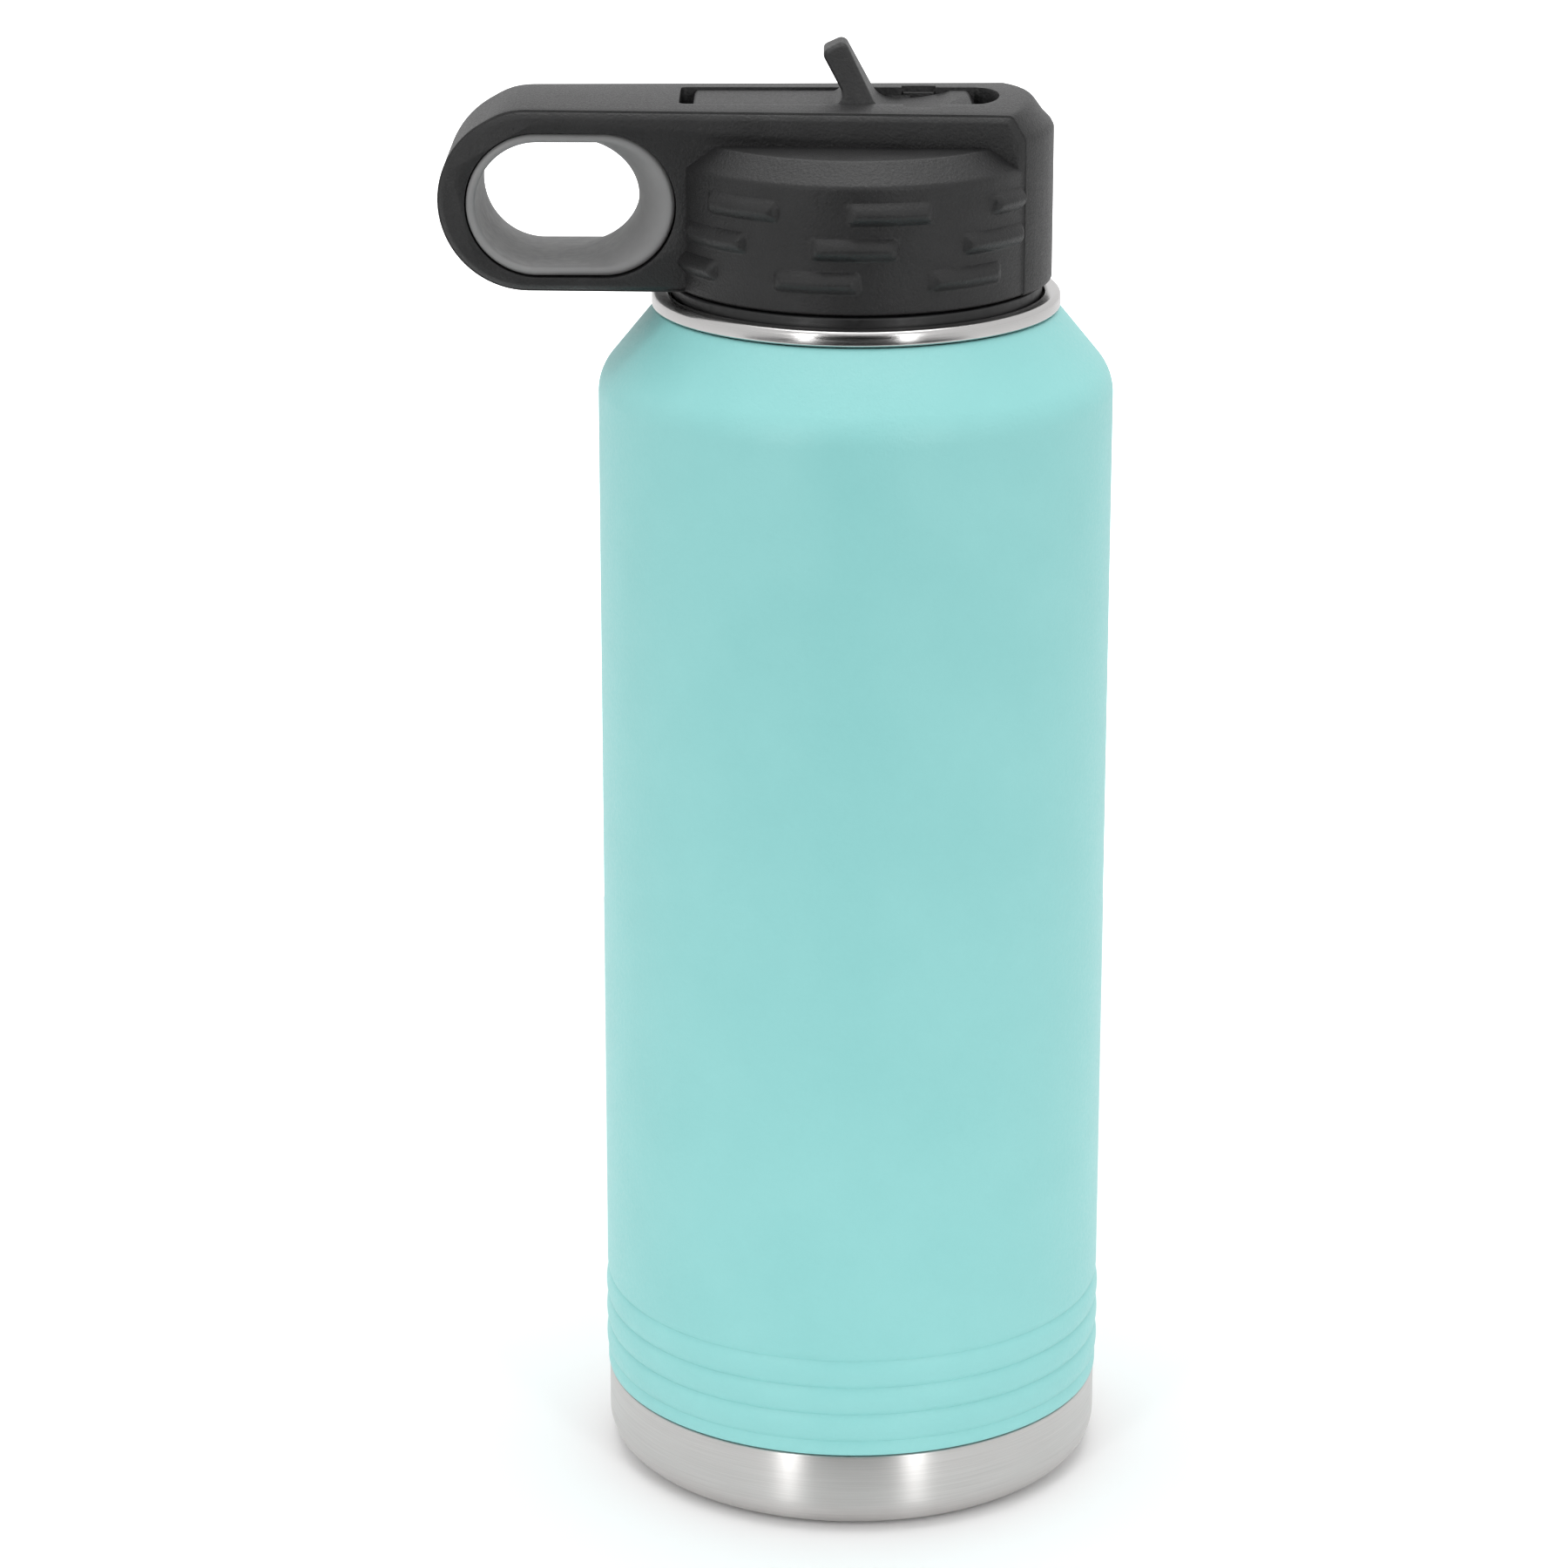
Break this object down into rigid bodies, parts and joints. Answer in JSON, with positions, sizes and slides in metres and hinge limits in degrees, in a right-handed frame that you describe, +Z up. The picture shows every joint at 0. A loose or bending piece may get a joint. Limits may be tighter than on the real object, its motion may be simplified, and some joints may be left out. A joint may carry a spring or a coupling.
{
  "type": "insulated water bottle",
  "caption": "Double-wall steel drinking bottle with a bare steel base band and a screw-on lid that has a carry loop, ribbed grip and flip-up straw spout.",
  "frame": {"origin": "on the bottle's axis, in the flat face it stands on", "axes": "+Z up along the bottle's axis, -X towards the carry loop, the spout turns about an axis parallel to Y"},
  "size_m": [0.1182, 0.0914, 0.2632],
  "materials": {
    "teal_powder_coat": "fine orange-peel powder coat, satin",
    "polished_steel": "polished stainless steel with fine turning lines",
    "brushed_steel_band": "brushed stainless steel, lines around the body",
    "black_plastic": "fine-grained moulded polypropylene",
    "grey_grip_rubber": "smooth matt elastomer",
    "black_silicone": "smooth silicone, slightly glossy",
    "clear_silicone": "translucent white silicone",
    "clear_straw": "translucent polypropylene",
    "white_foam": "closed-cell foam",
    "sealing_glass": "dark fused solder glass",
    "getter_alloy": "pressed grey getter powder"
  },
  "bodies": {
    "bottle": {"outer_shell": "teal_powder_coat", "shoulder_cone": "teal_powder_coat", "inner_liner": "polished_steel", "mouth_ring": "polished_steel", "liner_bottom": "polished_steel", "vacuum_bottom": "polished_steel", "base_cup": "brushed_steel_band", "sealing_glass": "sealing_glass", "getter_clip": "polished_steel", "getter_pellet": "getter_alloy"},
    "seal_ring": {"lid_gasket": "black_silicone"},
    "lid": {"lid_shell": "black_plastic", "grip_insert": "grey_grip_rubber", "hinge_keeper_front": "black_plastic", "hinge_keeper_back": "black_plastic", "threaded_plug": "black_plastic", "foam_disc": "white_foam", "straw_adapter": "black_plastic", "straw": "clear_straw", "adapter_o_ring": "black_silicone", "spout_seal": "clear_silicone", "vent_valve": "clear_silicone"},
    "spout": {"flip_spout": "black_plastic"}
  },
  "joints": [
    {"name": "lid_rise", "type": "slide", "parent": "bottle", "child": "seal_ring", "axis": [0, 0, 1], "range_m": [0, 0.00563]},
    {"name": "lid_turn", "type": "hinge", "parent": "seal_ring", "child": "lid", "pos_m": [0, 0, 0.219], "axis": [0, 0, 1], "range_deg": [0, 450]},
    {"name": "spout_flip", "type": "hinge", "parent": "lid", "child": "spout", "pos_m": [0.0109, 0, 0.2462], "axis": [0, 1, 0], "range_deg": [0, 90]}
  ],
  "couplings": [
    {"joint": "lid_rise", "follows": "lid_turn", "m_per_rad": 0.0007162}
  ]
}
